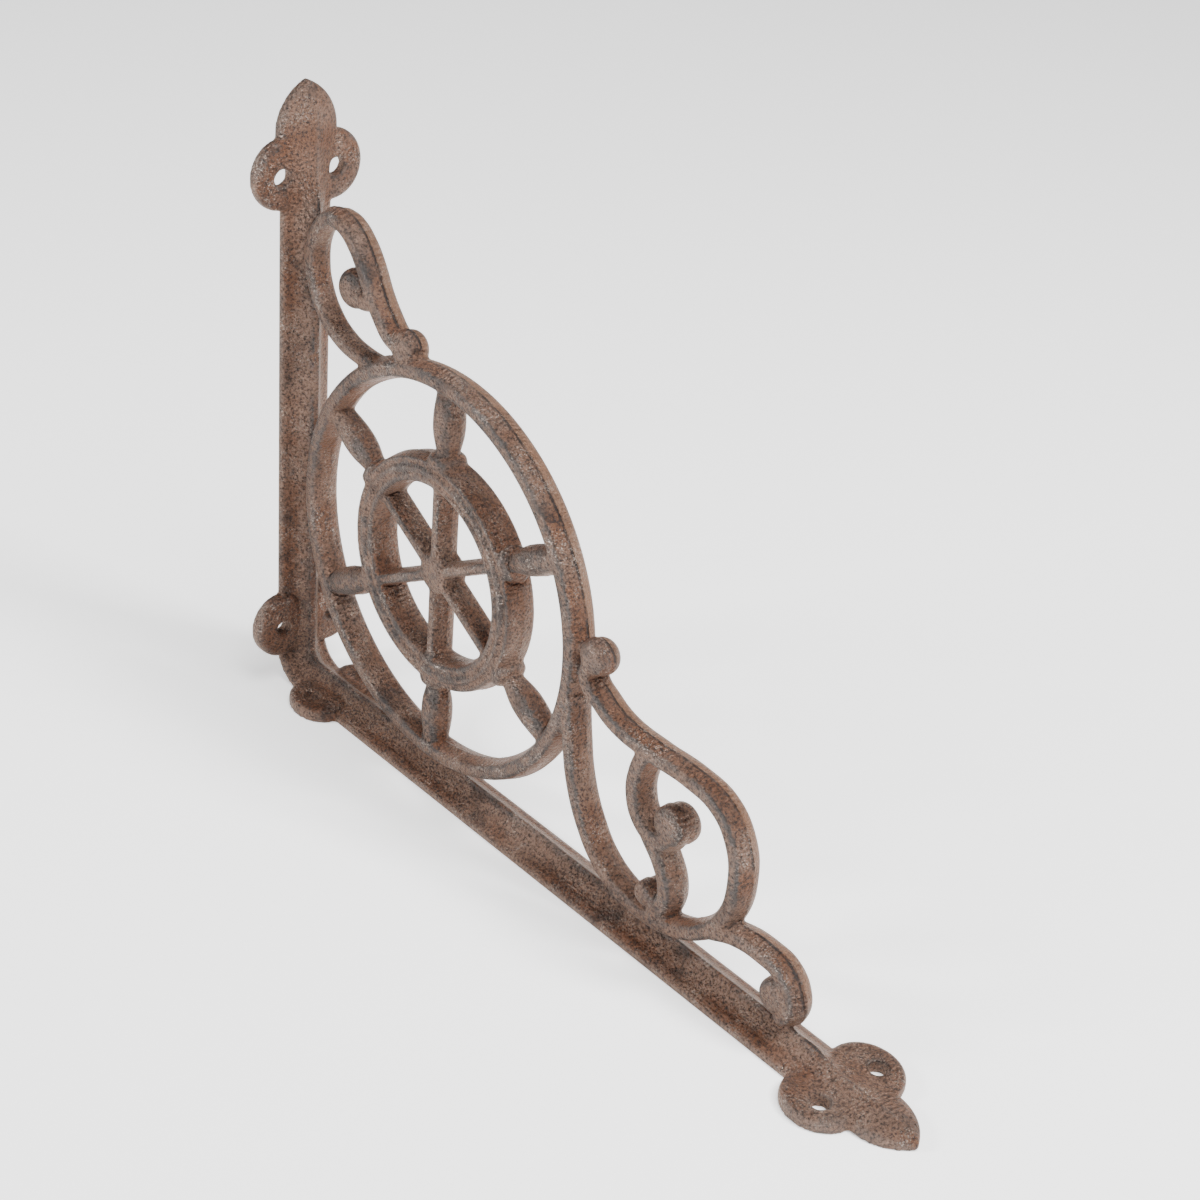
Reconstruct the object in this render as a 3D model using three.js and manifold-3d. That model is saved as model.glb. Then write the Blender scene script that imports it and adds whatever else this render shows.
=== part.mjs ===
import * as THREE from "three";
import { mergeVertices } from "three/addons/utils/BufferGeometryUtils.js";
import Module from "manifold-3d";

// Ornate cast iron shelf bracket, one casting. Millimetres, +Z up.
// It stands on the flat back of its shelf arm, which runs along +X, and its wall arm rises along +Z.
// Y is across the bracket, and the casting is alike on both sides of its parting plane, y = 0.
// It is drawn from the corner where the backs of the two arms would meet, and the mesh is then
// placed so that the origin lies midway along the underside.

// Arms. A pair of lobes lies at a distance from the corner and reaches across from the arm's edge
// and along it; its two screw holes have a distance from the corner of their own, and a spacing.
const shelfArm = {
  length: 253,
  leafWidth: 17,
  tipLobes: { at: 228, across: 9.3, along: 10.5, screwsAt: 230, spacing: 20 },
  cornerLobes: { at: 20.6, across: 7.2, along: 9.5, screwsAt: 20, spacing: 18 },
};
const wallArm = {
  length: 183,
  leafWidth: 19,
  tipLobes: { at: 158.2, across: 9.3, along: 10, screwsAt: 157.8, spacing: 17.2 },
  cornerLobes: { at: 18.6, across: 8.9, along: 9.8, screwsAt: 18.6, spacing: 16.8 },
};
const armWidth = 16;
const armEdgeThickness = 1.6;
const flangeThickness = 2.4;
const flangeBevelWidth = 1.2;
const ribFootWidth = 8.6;
const ribFootHeight = 2.7;
const ribShoulderWidth = 5;
const ribShoulderHeight = 5.6;
const ribTopWidth = 2;
const ribTopHeight = 7.3;
const cornerOuterRadius = 11;
const cornerInnerRadius = 9;

// Leaf tips
const leafLength = 14;
const leafEdgeThickness = 1.7;
const leafRidgeHeight = 5.4;
const leafPointWidth = 0.8;
const leafPointHeight = 2;
const ribFadeLength = 9;

// The leaf cut across, as shares of its half width and of the rise from its edge to its ridge
const leafRoof = [[1, 0], [0.78, 0.36], [0.5, 0.68], [0.25, 0.9], [0.06, 1]];

// Screw lobes
const lobeThickness = 3.4;
const lobeChamfer = 0.8;
const screwHole = 5;

// Ring
const ringRadius = 56.2;
const ringWidth = 6.3;
const ringDepth = 8.4;
const weldDepth = 0.3;

// Wheel
const rimOuterRadius = 33.4;
const rimInnerRadius = 25.6;
const rimDepth = 10.6;
const rimStep = 1.1;
const rimBand = 2;
const rimSlope = 0.6;
const spokeCount = 6;
const spokeWidth = 4.4;
const spokeDepth = 7.6;
const hubRadius = 5.8;
const hubDepth = 9.2;
const hubChamfer = 1;

// Handles, the barrel as shares of its length with the radius there
const handleBarrel = [[0, 3], [0.2, 3.8], [0.5, 4.3], [0.8, 4], [1, 3.3]];
const collarRadius = 5.3;
const collarLength = 2.6;
const collarEdge = 0.8;
const rootDepth = 1.5;

// Scrolls
const scrollWidth = 6.1;
const scrollDepth = 7.8;
const stemWidth = 6.9;
const thinScrollWidth = 5.4;
const thinScrollDepth = 6.6;
const outerButtonRadius = 5.1;
const innerButtonRadius = 5.6;
const smallButtonRadius = 3.6;
const buttonDepth = 8.8;
const buttonRounding = 1.8;

// A quarter of a cast bar's outline, as shares of its half width and half depth
const castQuarter = [[1, 0], [0.82, 0.55], [0.52, 1]];

// How finely the round forms are faceted
const ringFacets = 52;
const wheelFacets = 36;
const lobeFacets = 20;
const holeFacets = 10;
const buttonFacets = 12;
const handleFacets = 10;
const cornerFacets = 6;
const leafSteps = 6;
const scrollStep = 4.6;

const ironColour = 0x6b5348;
const ironRoughness = 0.7;
const ironMetalness = 0.6;

// How near two points of a mesh are to count as one, and how far a cut runs past what it cuts
const mergeDistance = 1e-4;
const cutPast = 1;

// Places that follow from the sizes above
const ringCentre = ribTopHeight - weldDepth + ringWidth / 2 + ringRadius;
const ringEdge = ringCentre + ringRadius;
const ringInside = ringRadius - ringWidth / 2;

const wasm = await Module();
wasm.setup();

// A closed geometry as a solid, with its faces turned outwards
function solid(geometry) {
  const bare = geometry.clone();
  bare.deleteAttribute("normal");
  bare.deleteAttribute("uv");
  const merged = mergeVertices(bare, mergeDistance);
  const points = merged.attributes.position.array;
  const faces = merged.index.array;
  if (signedVolume(points, faces) < 0) {
    faces.reverse();
  }
  return new wasm.Manifold(new wasm.Mesh({
    numProp: 3,
    vertProperties: new Float32Array(points),
    triVerts: new Uint32Array(faces),
  }));
}

function signedVolume(points, faces) {
  const [a, b, c] = [0, 1, 2].map(() => new THREE.Vector3());
  let volume = 0;
  for (let i = 0; i < faces.length; i += 3) {
    a.fromArray(points, faces[i] * 3);
    b.fromArray(points, faces[i + 1] * 3);
    c.fromArray(points, faces[i + 2] * 3);
    volume += a.dot(b.cross(c)) / 6;
  }
  return volume;
}

function fuse(solids) {
  return solids.reduce((whole, next) => whole.add(next));
}

// The whole of a section whose one side is listed as (side, height), from the back up to the middle
function mirrored(half) {
  const other = half.map(([side, height]) => [-side, height]).reverse();
  return [...half, ...other];
}

// A body along X through sections of equal count, each a distance s and its (y, z) points
function loft(sections) {
  const count = sections[0].points.length;
  const positions = sections.flatMap(({ s, points }) => points.flatMap(([y, z]) => [s, y, z]));
  const faces = [];
  for (let row = 0; row + 1 < sections.length; row++) {
    for (let i = 0; i < count; i++) {
      const a = row * count + i;
      const b = row * count + (i + 1) % count;
      faces.push(a, b, b + count, a, b + count, a + count);
    }
  }
  faces.push(...capFaces(sections[0].points, 0, -1));
  faces.push(...capFaces(sections.at(-1).points, (sections.length - 1) * count, 1));
  const geometry = new THREE.BufferGeometry();
  geometry.setAttribute("position", new THREE.Float32BufferAttribute(positions, 3));
  geometry.setIndex(faces);
  return geometry;
}

function capFaces(points, first, facing) {
  const flat = points.map(([y, z]) => new THREE.Vector2(y, z));
  return THREE.ShapeUtils.triangulateShape(flat, []).flatMap((corners) => {
    const turn = THREE.ShapeUtils.area(corners.map((i) => flat[i]));
    const ordered = turn * facing > 0 ? corners : [...corners].reverse();
    return ordered.map((i) => first + i);
  });
}

// The outline of a cast bar cut across, as (width, depth): widest at the parting plane, with
// sides that slant in to a narrower face
function castSection(width, depth) {
  const front = castQuarter.map(([w, d]) => [w * width / 2, d * depth / 2]);
  const half = [...front, ...front.slice(1).map(([w, d]) => [-w, d]).reverse()];
  const other = half.map(([w, d]) => [-w, -d]);
  return [...half, ...other].map(([w, d]) => new THREE.Vector2(w, d));
}

// A bar of the cast section along a curve that lies in the plane y = 0
function bar(curve, width, depth) {
  const steps = Math.max(2, Math.round(curve.getLength() / scrollStep));
  const shape = new THREE.Shape(castSection(width, depth).map(({ x, y }) => new THREE.Vector2(y, x)));
  return solid(new THREE.ExtrudeGeometry(shape, { steps, extrudePath: curve }));
}

// A turned form about the Y axis, from its (radius, y) profile
function turned(profile, facets) {
  return solid(new THREE.LatheGeometry(profile.map(([r, y]) => new THREE.Vector2(r, y)), facets));
}

// The arm's section where it is a plain flange with a raised rib
function barHalf() {
  const side = armWidth / 2;
  return [
    [side, 0],
    [side, armEdgeThickness],
    [side - flangeBevelWidth, flangeThickness],
    [ribFootWidth / 2, ribFootHeight],
    [ribShoulderWidth / 2, ribShoulderHeight],
    [ribTopWidth / 2, ribTopHeight],
  ];
}

// The section of the leaf, a low roof with a soft ridge
function leafHalf(halfWidth, ridge) {
  const rise = ridge - leafEdgeThickness;
  const roof = leafRoof.map(([across, up]) => [halfWidth * across, leafEdgeThickness + rise * up]);
  return [[halfWidth, 0], ...roof];
}

// Half the width of a pointed arch, at a share of the way from its foot to its point
function archHalfWidth(width, share) {
  const half = width / 2;
  const radius = (half ** 2 + leafLength ** 2) / (2 * half);
  return half - radius + Math.sqrt(radius ** 2 - (leafLength * share) ** 2);
}

// Where an arm's rib ends and its tip lobes begin
function neck(tipLobes) {
  return tipLobes.at - tipLobes.along;
}

// One arm lying along +X with its back at z = 0, its leaf tip and its lobes, and its screw holes
function arm({ length, leafWidth, tipLobes, cornerLobes }) {
  const leafFoot = length - leafLength;
  const ribEnd = neck(tipLobes);
  const sections = [
    { s: 0, points: mirrored(barHalf()) },
    { s: ribEnd, points: mirrored(barHalf()) },
    { s: ribEnd + ribFadeLength, points: mirrored(leafHalf(armWidth / 2, leafRidgeHeight)) },
  ];
  for (let i = 0; i <= leafSteps; i++) {
    const share = Math.sin(i / leafSteps * Math.PI / 2);
    const halfWidth = Math.max(archHalfWidth(leafWidth, share), leafPointWidth / 2);
    const ridge = THREE.MathUtils.lerp(leafRidgeHeight, leafPointHeight, share ** 3);
    sections.push({ s: leafFoot + leafLength * share, points: mirrored(leafHalf(halfWidth, ridge)) });
  }
  const rounding = cornerRounding();
  const body = solid(loft(sections)).subtract(rounding);
  const lobes = [];
  const holes = [];
  for (const pair of [tipLobes, cornerLobes]) {
    for (const side of [-1, 1]) {
      lobes.push(lobe(pair, side * armWidth / 2));
      holes.push(hole(pair.screwsAt, side * pair.spacing / 2));
    }
  }
  return { body: fuse([body, ...lobes]), holes: fuse(holes) };
}

// A round lobe stretched along the arm, centred on the arm's edge
function lobe({ at, across, along }, y) {
  const profile = [
    [0, 0],
    [across, 0],
    [across, lobeThickness - lobeChamfer],
    [across - lobeChamfer, lobeThickness],
    [0, lobeThickness],
  ];
  const geometry = new THREE.LatheGeometry(profile.map(([r, h]) => new THREE.Vector2(r, h)), lobeFacets);
  geometry.rotateX(Math.PI / 2);
  geometry.scale(along / across, 1, 1);
  geometry.translate(at, y, 0);
  return solid(geometry);
}

function hole(s, y) {
  const depth = Math.max(lobeThickness, leafRidgeHeight, ribTopHeight) + cutPast;
  const geometry = new THREE.CylinderGeometry(screwHole / 2, screwHole / 2, depth * 2, holeFacets);
  geometry.rotateX(Math.PI / 2);
  geometry.translate(s, y, 0);
  return solid(geometry);
}

// What is cut away to round the outer corner of the two backs
function cornerRounding() {
  const shape = new THREE.Shape();
  shape.moveTo(-cutPast, -cutPast);
  shape.lineTo(cornerOuterRadius, -cutPast);
  shape.lineTo(cornerOuterRadius, 0);
  shape.absarc(cornerOuterRadius, cornerOuterRadius, cornerOuterRadius, -Math.PI / 2, -Math.PI, true);
  shape.lineTo(-cutPast, cornerOuterRadius);
  return acrossArm(shape, armWidth + cutPast * 2);
}

// The soft fillet in the inner corner, between the two flanges
function cornerFillet() {
  const root = flangeThickness / 2;
  const far = flangeThickness + cornerInnerRadius;
  const shape = new THREE.Shape();
  shape.moveTo(root, root);
  shape.lineTo(far, root);
  shape.lineTo(far, flangeThickness);
  shape.absarc(far, far, cornerInnerRadius, -Math.PI / 2, -Math.PI, true);
  shape.lineTo(root, far);
  return acrossArm(shape, armWidth - flangeBevelWidth);
}

// A flat shape in x and z, given thickness across the arms
function acrossArm(shape, width) {
  const geometry = new THREE.ExtrudeGeometry(shape, {
    depth: width,
    bevelEnabled: false,
    curveSegments: cornerFacets,
  });
  geometry.translate(0, 0, -width / 2);
  geometry.rotateX(Math.PI / 2);
  return solid(geometry);
}

// Stands an arm up from lying along +X to rising along +Z
function raised(flat) {
  const halfTurn = new THREE.Matrix4().makeRotationAxis(new THREE.Vector3(1, 0, 1).normalize(), Math.PI);
  return flat.transform(halfTurn.toArray());
}

// The round frame of the wheel
function ring() {
  const profile = castSection(ringWidth, ringDepth).map((p) => [ringRadius + p.x, p.y]);
  return turned([...profile, profile[0]], ringFacets);
}

function rim() {
  const front = rimDepth / 2;
  const back = front - rimStep;
  const half = [
    [rimInnerRadius, back - rimSlope],
    [rimInnerRadius + rimBand, back],
    [rimInnerRadius + rimBand + rimSlope, front],
    [rimOuterRadius - rimBand - rimSlope, front],
    [rimOuterRadius - rimBand, back],
    [rimOuterRadius, back - rimSlope],
  ];
  const other = half.map(([r, y]) => [r, -y]).reverse();
  return turned([...half, ...other, half[0]], wheelFacets);
}

function hub() {
  const half = hubDepth / 2;
  return turned([
    [0, -half],
    [hubRadius - hubChamfer, -half],
    [hubRadius, hubChamfer - half],
    [hubRadius, half - hubChamfer],
    [hubRadius - hubChamfer, half],
    [0, half],
  ], buttonFacets);
}

function spoke(turn) {
  const reach = rimInnerRadius + rootDepth;
  const shape = new THREE.Shape(castSection(spokeWidth, spokeDepth));
  const geometry = new THREE.ExtrudeGeometry(shape, { depth: reach, bevelEnabled: false });
  geometry.rotateY(turn);
  return solid(geometry);
}

// A turned handle that stands on the rim behind its collar and runs into the ring
function handle(turn) {
  const foot = rimOuterRadius - rootDepth;
  const collarEnd = rimOuterRadius + collarLength;
  const end = ringInside + rootDepth;
  const barrel = handleBarrel.map(([share, r]) => [r, THREE.MathUtils.lerp(collarEnd, end, share)]);
  const profile = [
    [0, foot],
    [collarRadius, foot],
    [collarRadius, collarEnd - collarEdge],
    ...barrel,
    [0, end],
  ];
  const geometry = new THREE.LatheGeometry(profile.map(([r, h]) => new THREE.Vector2(r, h)), handleFacets);
  geometry.rotateX(Math.PI / 2);
  geometry.rotateY(turn);
  return solid(geometry);
}

// A round button at the end of a scroll, with its axis across the bracket
function button(centre, radius) {
  const half = buttonDepth / 2;
  const small = radius - buttonRounding;
  return turned([
    [0, -half],
    [small, -half],
    [radius, buttonRounding - half],
    [radius, half - buttonRounding],
    [small, half],
    [0, half],
  ], buttonFacets).translate([centre.x, 0, centre.z]);
}

function curveThrough(place, shares) {
  return new THREE.CatmullRomCurve3(shares.map(([u, v]) => place(u, v)), false, "centripetal");
}

// Scroll points are shares of the room they fill. On the shelf arm u runs from the ring's
// middle line to the neck of the leaf tip, and v from the rib's top to the height of the hub.
function onShelfSide(u, v) {
  const x = THREE.MathUtils.lerp(ringEdge, neck(shelfArm.tipLobes), u);
  return new THREE.Vector3(x, 0, THREE.MathUtils.lerp(ribTopHeight, ringCentre, v));
}

// On the wall arm u runs from the rib's top to the hub, and v from the ring's top to the leaf's neck
function onWallSide(u, v) {
  const z = THREE.MathUtils.lerp(ringEdge, neck(wallArm.tipLobes), v);
  return new THREE.Vector3(THREE.MathUtils.lerp(ribTopHeight, ringCentre, u), 0, z);
}

function shelfScroll() {
  const loop = curveThrough(onShelfSide, [
    [0.079, 1.1], [0.065, 1.0], [0.124, 0.924], [0.199, 0.873], [0.338, 0.859], [0.48, 0.863],
    [0.589, 0.829], [0.657, 0.72], [0.684, 0.536], [0.653, 0.31], [0.565, 0.151], [0.45, 0.062],
    [0.353, 0.044], [0.258, 0.064], [0.172, 0.132], [0.106, 0.25], [0.047, 0.44], [0.017, 0.66],
    [0, 0.86],
  ]);
  const innerCurl = curveThrough(onShelfSide, [
    [0.318, 0.859], [0.289, 0.725], [0.285, 0.607], [0.317, 0.5], [0.374, 0.46], [0.419, 0.49],
    [0.429, 0.556],
  ]);
  const stem = curveThrough(onShelfSide, [
    [0.354, 0.455], [0.408, 0.361], [0.437, 0.268], [0.436, 0.175], [0.402, 0.073],
  ]);
  const lastCurl = curveThrough(onShelfSide, [
    [0.611, 0.205], [0.707, 0.268], [0.803, 0.281], [0.872, 0.26], [0.915, 0.175], [0.915, 0.081],
    [0.889, 0.042],
  ]);
  return fuse([
    bar(loop, scrollWidth, scrollDepth),
    bar(innerCurl, stemWidth, scrollDepth),
    bar(stem, stemWidth, scrollDepth),
    bar(lastCurl, scrollWidth, scrollDepth),
    button(onShelfSide(0.083, 1.119), outerButtonRadius),
    button(onShelfSide(0.431, 0.575), innerButtonRadius),
    button(onShelfSide(0.366, 0.155), smallButtonRadius),
    button(onShelfSide(0.868, 0.132), outerButtonRadius),
  ]);
}

function wallScroll() {
  const stem = curveThrough(onWallSide, [
    [0.68, 0.1], [0.6, 0.15], [0.532, 0.293], [0.466, 0.482], [0.403, 0.73], [0.332, 0.93],
    [0.247, 1.06], [0.16, 1.085],
  ]);
  const loop = curveThrough(onWallSide, [
    [0.247, 1.06], [0.16, 1.085], [0.08, 0.975], [0.017, 0.767], [-0.003, 0.466], [0.026, 0.18],
    [0.107, -0.078], [0.218, -0.235], [0.353, -0.3], [0.532, -0.291],
  ]);
  const curl = curveThrough(onWallSide, [[0.46, 0.42], [0.4, 0.36], [0.33, 0.43]]);
  return fuse([
    bar(stem, scrollWidth, scrollDepth),
    bar(loop, thinScrollWidth, thinScrollDepth),
    bar(curl, scrollWidth, scrollDepth),
    button(onWallSide(0.699, 0.105), outerButtonRadius),
    button(onWallSide(0.31, 0.415), innerButtonRadius),
  ]);
}

function wheel() {
  const members = [ring(), rim(), hub()];
  for (let i = 0; i < spokeCount; i++) {
    const turn = i / spokeCount * Math.PI * 2;
    members.push(spoke(turn), handle(turn));
  }
  return fuse(members).translate([ringCentre, 0, ringCentre]);
}

function casting() {
  const shelf = arm(shelfArm);
  const wall = arm(wallArm);
  const ornament = [cornerFillet(), wheel(), shelfScroll(), wallScroll()];
  const whole = fuse([shelf.body, raised(wall.body), ...ornament]);
  return whole.subtract(shelf.holes).subtract(raised(wall.holes));
}

function toGeometry(body) {
  const mesh = body.getMesh();
  const geometry = new THREE.BufferGeometry();
  geometry.setAttribute("position", new THREE.Float32BufferAttribute(mesh.vertProperties, 3));
  geometry.setIndex(new THREE.Uint32BufferAttribute(mesh.triVerts, 1));
  geometry.computeVertexNormals();
  return geometry;
}

const iron = new THREE.MeshStandardMaterial({
  color: ironColour,
  roughness: ironRoughness,
  metalness: ironMetalness,
});

const group = new THREE.Group();
const bracket = new THREE.Mesh(toGeometry(casting()), iron);
bracket.name = "bracket";
bracket.position.x = -shelfArm.length / 2;
group.add(bracket);

export default group;
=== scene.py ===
import math

import bmesh
import bpy
import numpy as np
from mathutils import Matrix, Vector


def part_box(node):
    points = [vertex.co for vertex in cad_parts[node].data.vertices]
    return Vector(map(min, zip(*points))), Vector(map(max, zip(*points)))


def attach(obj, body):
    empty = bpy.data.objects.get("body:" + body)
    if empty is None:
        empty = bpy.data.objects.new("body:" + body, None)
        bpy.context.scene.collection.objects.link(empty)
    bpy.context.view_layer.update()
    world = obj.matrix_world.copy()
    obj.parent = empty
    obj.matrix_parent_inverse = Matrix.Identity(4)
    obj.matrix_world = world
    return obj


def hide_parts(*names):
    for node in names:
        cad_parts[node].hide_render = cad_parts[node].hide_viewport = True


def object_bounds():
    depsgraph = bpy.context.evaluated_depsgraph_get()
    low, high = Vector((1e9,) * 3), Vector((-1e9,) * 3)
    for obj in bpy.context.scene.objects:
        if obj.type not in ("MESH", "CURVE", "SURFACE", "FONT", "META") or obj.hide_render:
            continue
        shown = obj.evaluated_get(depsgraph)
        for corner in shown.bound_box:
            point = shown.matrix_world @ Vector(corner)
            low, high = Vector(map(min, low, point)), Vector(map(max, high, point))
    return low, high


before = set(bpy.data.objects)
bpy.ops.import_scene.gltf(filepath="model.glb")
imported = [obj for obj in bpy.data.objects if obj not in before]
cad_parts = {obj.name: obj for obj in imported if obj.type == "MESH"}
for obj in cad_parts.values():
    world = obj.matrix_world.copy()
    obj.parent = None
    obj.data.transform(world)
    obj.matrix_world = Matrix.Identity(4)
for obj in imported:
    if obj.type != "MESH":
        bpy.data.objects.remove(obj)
cad_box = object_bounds()

# The bracket is drawn in millimetres from the corner where the backs of its two arms would meet,
# x along the shelf arm, y across, z up the wall arm, and is brought into the frame at the end.
MM = 0.001
low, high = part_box("bracket")
CORNER = Vector((low.x, (low.y + high.y) / 2, low.z))
SHELF_LENGTH = (high.x - low.x) / MM
WALL_LENGTH = (high.z - low.z) / MM

# Arms: a flat flange with a rib along its middle, a leaf at its tip, and two pairs of lobes
ARM_WIDTH = 16
ARM_EDGE = 1.6
FLANGE = 2.4
FLANGE_BEVEL = 1.2
RIB_HEIGHT = 7.3

# The slope from the flange to the rib's crest, as (distance from the middle, height)
RIB_SLOPE = [(5.2, 2.9), (3.6, 4), (2.1, 5.6), (1, 6.8), (0.4, RIB_HEIGHT)]

CORNER_RADIUS = 11
CORNER_STEPS = 10
CORNER_FILLET = 9

# Each pair of lobes: its distance from the corner, its reach across and along, its thickness, and the
# place, spacing and width of its two screw holes
SHELF_TIP = {
    "at": 228, "across": 9.3, "along": 10.5, "thick": 3.8,
    "screws": 230, "spacing": 20, "hole": 5,
}
SHELF_CORNER = {
    "at": 20.6, "across": 7.2, "along": 9.5, "thick": 4,
    "screws": 20, "spacing": 18, "hole": 5,
}
WALL_TIP = {
    "at": 158.2, "across": 9.3, "along": 10, "thick": 3.3,
    "screws": 157.8, "spacing": 17.2, "hole": 5,
}
WALL_CORNER = {
    "at": 18.6, "across": 8.9, "along": 9.8, "thick": 4.5,
    "screws": 18.6, "spacing": 16.8, "hole": 4.4,
}
LOBE_ROUNDING = 1.7
LOBE_ROUNDING_STEPS = 3
LOBE_FACETS = 40

# Leaf tips
SHELF_LEAF_WIDTH = 17
WALL_LEAF_WIDTH = 19
LEAF_LENGTH = 14
LEAF_EDGE = 1.4
LEAF_RIDGE = 5.2
LEAF_POINT = 0.8
LEAF_POINT_HEIGHT = 2.6
LEAF_STEPS = 12
RIB_FADE = 9

# A leaf's roof from its edge to its ridge, as shares of half its width and of its rise
LEAF_ROOF = [(1, 0), (0.97, 0.22), (0.89, 0.43), (0.7, 0.63), (0.45, 0.8), (0.22, 0.93), (0.05, 1)]

# A quarter of a cast bar's outline from the parting plane to its face, as shares of its halves
CAST_QUARTER = [(1, 0), (0.91, 0.32), (0.78, 0.62), (0.6, 0.87), (0.46, 0.97), (0.28, 1)]

# Ring, wheel rim, hub and spokes
RING_RADIUS = 56.2
RING_WIDTH = 6.3
RING_DEPTH = 8.7
RING_STEPS = 120
WELD = 0.3
RIM_OUTER = 33.4
RIM_INNER = 25.6
RIM_DEPTH = 10.6
RIM_DRAFT = 0.35
SPOKES = 6
SPOKE_WIDTH = 4.4
SPOKE_DEPTH = 7.6
HUB_DEPTH = 9.2
ROOT = 1.5
TURN_STEPS = 32

# The rim's moulding from its inner edge to its outer, as (share of its width, depth below its face)
RIM_MOULDING = [
    (0.01, 2.3), (0.06, 1.3), (0.13, 0.6), (0.2, 0.35), (0.28, 0.6), (0.37, 0.95), (0.45, 0.5), (0.53, 0.05),
    (0.6, 0.05), (0.67, 0.6), (0.75, 1.1), (0.83, 0.75), (0.9, 0.6), (0.95, 1.0), (0.99, 2),
]

# The hub from its middle to its edge, as (radius, depth below its face)
HUB_MOULDING = [(0, 0), (2.6, 0.1), (4.4, 0.5), (5.4, 1.2), (5.8, 2.2)]

# A handle's collar, as (radius, height over the rim), and its barrel's radii from there to the ring
COLLAR_FOOT = 4.7
COLLAR = [(5.1, 0.4), (4.8, 1.4), (4, 2.1)]
BARREL_START = 2.7
BARREL_RADII = [3, 3.5, 4, 4.25, 4.3, 4.2, 3.95, 3.65, 3.3]

# Scrolls and their buttons; a button's roundness is 1 for a ball, and less for a flatter, squarer one
SCROLL_WIDTH = 6.1
SCROLL_DEPTH = 8.1
STEM_WIDTH = 6.9
THIN_WIDTH = 5.4
THIN_DEPTH = 6.6
CURVE_DETAIL = 10
BUTTON_DEPTH = 8.8
BUTTON_STEPS = 16
OUTER_BUTTON = 5.1
INNER_BUTTON = 5.6
SMALL_BUTTON = 3.6
BALL = 0.8
FLAT = 0.5

# The cast skin, the shift between the two halves of its mould, and where the seam between them starts
SKIN_VOXEL = 0.5
SKIN_SMOOTHING = 0.5
SKIN_ROUNDS = 2
SKIN_TRIANGLES = 190000
MOULD_SHIFT = 0.3
MOULD_SHIFT_FROM = 4
SEAM_FROM = 5.8

# The relief that counts as fully standing out or sunk in, and the rounds of smoothing behind it
STANDING_OUT = 0.2
STANDING_ROUNDS = 5
SUNK_IN = 0.5
SUNK_ROUNDS = 9

# The way that the bracket's outer sides face, from which light is painted on them, and how near and how far
# along it other iron is looked for
OUTWARDS = (0.6, 0, 0.8)
OUT_START = 5
OUT_REACH = 110

# The finish, with its painted light, shade and glints: its colours as they look on a screen, 0 to 255
PATINA = {
    "Worn": (130, 105, 91),
    # Tan with painted light: a tan of the far half, lighter as painted light where its sides face up and
    # outwards
    "Tan with painted light": (140, 106, 84),
    "Rust": (112, 78, 60),
    "Grey": (82, 80, 79),
    "Charcoal": (42, 40, 41),
    # Painted glint: the colour of bright highlight spots painted into the surface
    "Painted glint": (196, 180, 168),
}

# How fine its patterns are, in spots per millimetre
SPOTS = {
    "grains": 1.25,
    "swells": 0.22,
    "painted glint clusters": 0.12,
    "ripples": 0.95,
    "ripple patches": 0.05,
    "seam waves": 0.4,
    "seam drift": 0.02,
    "seam gaps": 0.11,
    "blots": 0.16,
    "frayed edges": 0.5,
    "rust patches": 0.045,
    "grey patches": 0.09,
    "dark patches": 0.07,
}

# How far each of its layers hides what is under it
# The tan layer carries painted light, and the hollows layer painted shade with the seam line
COVERAGE = {"tan": 0.65, "grey": 0.85, "dark patches": 0.55, "hollows": 0.85, "rubbed": 0.7}

# Its relief: the grain's height in millimetres, and the ripples' height and the seam's depth as shares of it
GRAIN_HEIGHT = 1.5
RIPPLE_HEIGHT = 1.6
RIPPLE_STRETCH = (1, 0.14, 1)
SEAM_DEPTH = 0.5

# How the metal shines, and what glints and hollows add to its roughness
ROUGHNESS = 0.38
GLINT_ROUGHNESS = -0.18
HOLLOW_ROUGHNESS = 0.15
METALLIC = 0.55
SPECULAR = 0.35
SPECULAR_TINT = (0.85, 0.72, 0.64, 1)

# The studio, in metres and watts: each light has its place, its width and its power
WHITE = (1, 1, 1, 1)
FLOOR_SIZE = 30
FLOOR_GLOW = 0.55
FLOOR_ROUGHNESS = 0.9
DAYLIGHT = 0.36
LIGHTS = {
    "top": ((0.3, 0.05, 1), 0.6, 16),
    "side": ((0.55, 0.3, 0.8), 0.22, 9),
    "front": ((-0.5, -0.75, 0.55), 0.22, 8),
}
LIGHTS_AIM = (0, 0, 0.07)
CAMERA_PLACE = Vector((0.3835, -0.3579, 0.4066))
CAMERA_AIM = Vector((-0.0028, 0.0047, 0.0846))
CAMERA_ROLL = math.radians(4.75)
CAMERA_LENS = 74.09
CAMERA_SENSOR = 36
CAMERA_NEAREST = 0.01

# Places that follow from the sizes above
RING_CENTRE = RIB_HEIGHT - WELD + RING_WIDTH / 2 + RING_RADIUS
RING_EDGE = RING_CENTRE + RING_RADIUS
RING_INSIDE = RING_RADIUS - RING_WIDTH / 2
SHELF_NECK = SHELF_TIP["at"] - SHELF_TIP["along"]
WALL_NECK = WALL_TIP["at"] - WALL_TIP["along"]


# Modelling by hand


def outline(name, points, filled=True):
    """Starts a piece as one outline through the points, left selected in edit mode."""
    bpy.ops.object.select_all(action="DESELECT")
    fill = "NGON" if filled else "NOTHING"
    bpy.ops.mesh.primitive_circle_add(vertices=len(points), radius=1, fill_type=fill)
    piece = bpy.context.object
    piece.name = name
    number = piece.data.attributes.new("corner", "INT", "POINT")
    for i, point in enumerate(points):
        piece.data.vertices[i].co = point
        number.data[i].value = i
    bpy.ops.object.mode_set(mode="EDIT")
    bpy.ops.mesh.select_all(action="SELECT")
    return piece


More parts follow.
